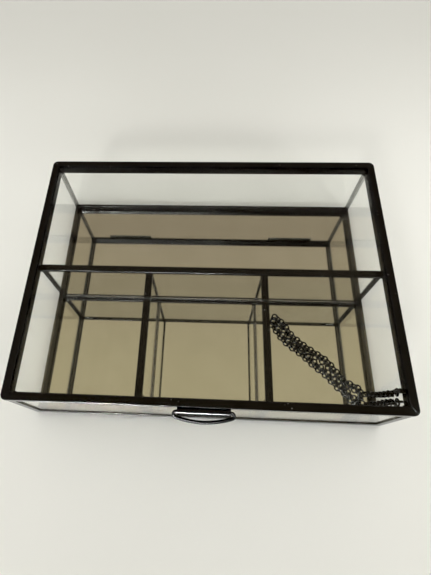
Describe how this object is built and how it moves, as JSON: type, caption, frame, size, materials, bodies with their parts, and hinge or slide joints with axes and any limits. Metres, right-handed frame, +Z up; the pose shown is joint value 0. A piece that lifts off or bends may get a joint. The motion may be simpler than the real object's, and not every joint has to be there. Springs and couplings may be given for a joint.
{
  "type": "glass jewelry box",
  "caption": "Low rectangular clear-glass jewelry box in slim dark metal framing, with a mirror floor, framed glass dividers, a hinged glass lid with a wire pull, and a stay chain.",
  "frame": {"origin": "middle of the footprint, on the surface that the box stands on", "axes": "+X to the right along the width, +Y to the hinged back, +Z up"},
  "size_m": [0.205, 0.1628, 0.051],
  "materials": {
    "frame_metal": "near-black patinated metal with a soft sheen and worn, brighter edges",
    "clear_glass": "clear polished sheet glass",
    "mirror": "silvered sheet glass, polished",
    "backing": "thin dark felt sheet under the mirror",
    "hinge_metal": "near-black patinated metal, slightly rubbed at the knuckles",
    "pull_metal": "near-black patinated wire with a soft sheen",
    "chain_metal": "near-black oxidised chain links"
  },
  "bodies": {
    "box": {"base_rail_front": "frame_metal", "base_rail_back": "frame_metal", "base_rail_left": "frame_metal", "base_rail_right": "frame_metal", "rim_rail_front": "frame_metal", "rim_rail_back": "frame_metal", "rim_rail_left": "frame_metal", "rim_rail_right": "frame_metal", "corner_post_front_left": "frame_metal", "corner_post_front_right": "frame_metal", "corner_post_back_right": "frame_metal", "corner_post_back_left": "frame_metal", "wall_pane_front": "clear_glass", "wall_pane_back": "clear_glass", "wall_pane_left": "clear_glass", "wall_pane_right": "clear_glass", "mirror_backing": "backing", "mirror_pane": "mirror", "cross_divider_top": "frame_metal", "cross_divider_foot": "frame_metal", "cross_divider_end_a": "frame_metal", "cross_divider_end_b": "frame_metal", "cross_divider_pane": "clear_glass", "short_divider_left_top": "frame_metal", "short_divider_left_foot": "frame_metal", "short_divider_left_end_a": "frame_metal", "short_divider_left_end_b": "frame_metal", "short_divider_left_pane": "clear_glass", "short_divider_right_top": "frame_metal", "short_divider_right_foot": "frame_metal", "short_divider_right_end_a": "frame_metal", "short_divider_right_end_b": "frame_metal", "short_divider_right_pane": "clear_glass", "hinge_leaf_box_left": "hinge_metal", "hinge_leaf_box_right": "hinge_metal", "hinge_pin_left": "hinge_metal", "hinge_pin_right": "hinge_metal", "stay_eye_box": "chain_metal"},
    "lid": {"lid_rail_front": "frame_metal", "lid_rail_back": "frame_metal", "lid_rail_left": "frame_metal", "lid_rail_right": "frame_metal", "lid_pane": "clear_glass", "hinge_leaf_lid_left": "hinge_metal", "hinge_leaf_lid_right": "hinge_metal", "pull_barrel": "pull_metal", "stay_eye_lid": "chain_metal"},
    "pull": {"pull_bail": "pull_metal"},
    "chain_box": {"stay_drop_box": "chain_metal"},
    "chain_lid": {"stay_drop_lid": "chain_metal"},
    "chain_out": {"stay_run_lid": "chain_metal"},
    "chain_back": {"stay_run_box": "chain_metal"}
  },
  "joints": [
    {"name": "lid_hinge", "type": "hinge", "parent": "box", "child": "lid", "pos_m": [0, 0.07735, 0.047], "axis": [-1, 0, 0], "range_deg": [0, 100.35]},
    {"name": "pull_swing", "type": "hinge", "parent": "lid", "child": "pull", "pos_m": [0, -0.0788, 0.049], "axis": [-1, 0, 0], "range_deg": [-70, 110]},
    {"name": "chain_box_turn", "type": "hinge", "parent": "box", "child": "chain_box", "pos_m": [0.09605, -0.0695, 0.0432], "axis": [0.5475, 0.7902, -0.2753], "range_deg": [0, 147.9]},
    {"name": "chain_lid_turn", "type": "hinge", "parent": "lid", "child": "chain_lid", "pos_m": [0.09605, -0.0648, 0.0445], "axis": [0.8256, -0.2949, 0.481], "range_deg": [0, 51.9]},
    {"name": "chain_out_turn", "type": "hinge", "parent": "chain_lid", "child": "chain_out", "pos_m": [0.0951, -0.0596, 0.00345], "axis": [-0.84, -0.4189, -0.3449], "range_deg": [0, 89.46]},
    {"name": "chain_back_turn", "type": "hinge", "parent": "chain_out", "child": "chain_back", "pos_m": [0.04445, -0.01315, 0.00345], "axis": [-0.5693, -0.5866, -0.576], "range_deg": [0, 180.19]}
  ],
  "couplings": [
    {"joint": "chain_box_turn", "follows": "lid_hinge", "ratio": 1.4736},
    {"joint": "chain_lid_turn", "follows": "lid_hinge", "ratio": 0.51697},
    {"joint": "chain_out_turn", "follows": "lid_hinge", "ratio": 0.89126},
    {"joint": "chain_back_turn", "follows": "lid_hinge", "ratio": 1.7954}
  ]
}
